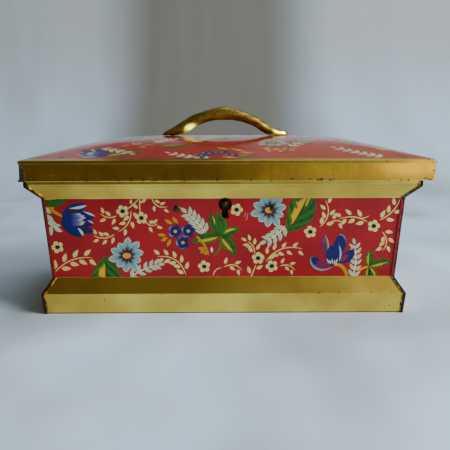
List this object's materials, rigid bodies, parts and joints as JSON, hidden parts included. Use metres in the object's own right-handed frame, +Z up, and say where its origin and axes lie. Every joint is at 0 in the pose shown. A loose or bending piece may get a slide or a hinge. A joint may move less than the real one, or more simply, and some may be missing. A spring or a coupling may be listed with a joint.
{
  "type": "metal box with hinged lid",
  "caption": "Footed tinplate casket with flared walls, overhanging hipped lid on rear hinges, bow handle on top and a keyhole lock in front",
  "frame": {"origin": "middle of the flat underside, on the surface the box stands on", "axes": "+X to the right along the longest side, +Y to the back where the hinges are, +Z up; the front with the keyhole faces -Y"},
  "size_m": [0.2623, 0.1769, 0.1341],
  "materials": {
    "printed_enamel": "glossy crimson enamel with a printed floral pattern and gold lacquered mouldings",
    "gold_lacquer": "glossy gold lacquer over tinplate, worn to dark metal along its edges",
    "bare_tin": "plain tinplate with light staining",
    "handle_brass": "polished brass with dark brown patina",
    "lock_steel": "dull steel with brown tarnish",
    "lock_brass": "dull brass",
    "hinge_steel": "steel with worn gold lacquer"
  },
  "bodies": {
    "body": {"front_panel": "printed_enamel", "back_panel": "printed_enamel", "left_panel": "printed_enamel", "right_panel": "printed_enamel", "bottom_plate": "bare_tin", "hinge_leaf_left": "hinge_steel", "hinge_leaf_right": "hinge_steel", "hinge_pin_left": "hinge_steel", "hinge_pin_right": "hinge_steel", "leaf_rivet_left_1": "hinge_steel", "leaf_rivet_left_2": "hinge_steel", "leaf_rivet_right_1": "hinge_steel", "leaf_rivet_right_2": "hinge_steel", "lock_plate": "lock_steel", "lock_case": "lock_steel", "drill_pin": "lock_steel", "lock_stump": "lock_steel", "lock_spring": "lock_steel", "lock_rivet_left": "lock_steel", "lock_rivet_right": "lock_steel", "case_rivet_left": "lock_steel", "case_rivet_right": "lock_steel"},
    "lid": {"lid_top": "printed_enamel", "lid_rim": "gold_lacquer", "handle": "handle_brass", "handle_backplate_left": "lock_steel", "handle_backplate_right": "lock_steel", "hinge_strap_left": "hinge_steel", "hinge_strap_right": "hinge_steel", "strap_rivet_left_1": "hinge_steel", "strap_rivet_left_2": "hinge_steel", "strap_rivet_right_1": "hinge_steel", "strap_rivet_right_2": "hinge_steel", "lid_keeper": "lock_steel"},
    "bolt": {"lock_bolt": "lock_brass"}
  },
  "joints": [
    {"name": "lid_hinge", "type": "hinge", "parent": "body", "child": "lid", "pos_m": [0, 0.0851, 0.08474], "axis": [-1, 0, 0], "range_deg": [0, 103]},
    {"name": "bolt_slide", "type": "slide", "parent": "body", "child": "bolt", "axis": [1, 0, 0], "range_m": [0, 0.005]}
  ]
}
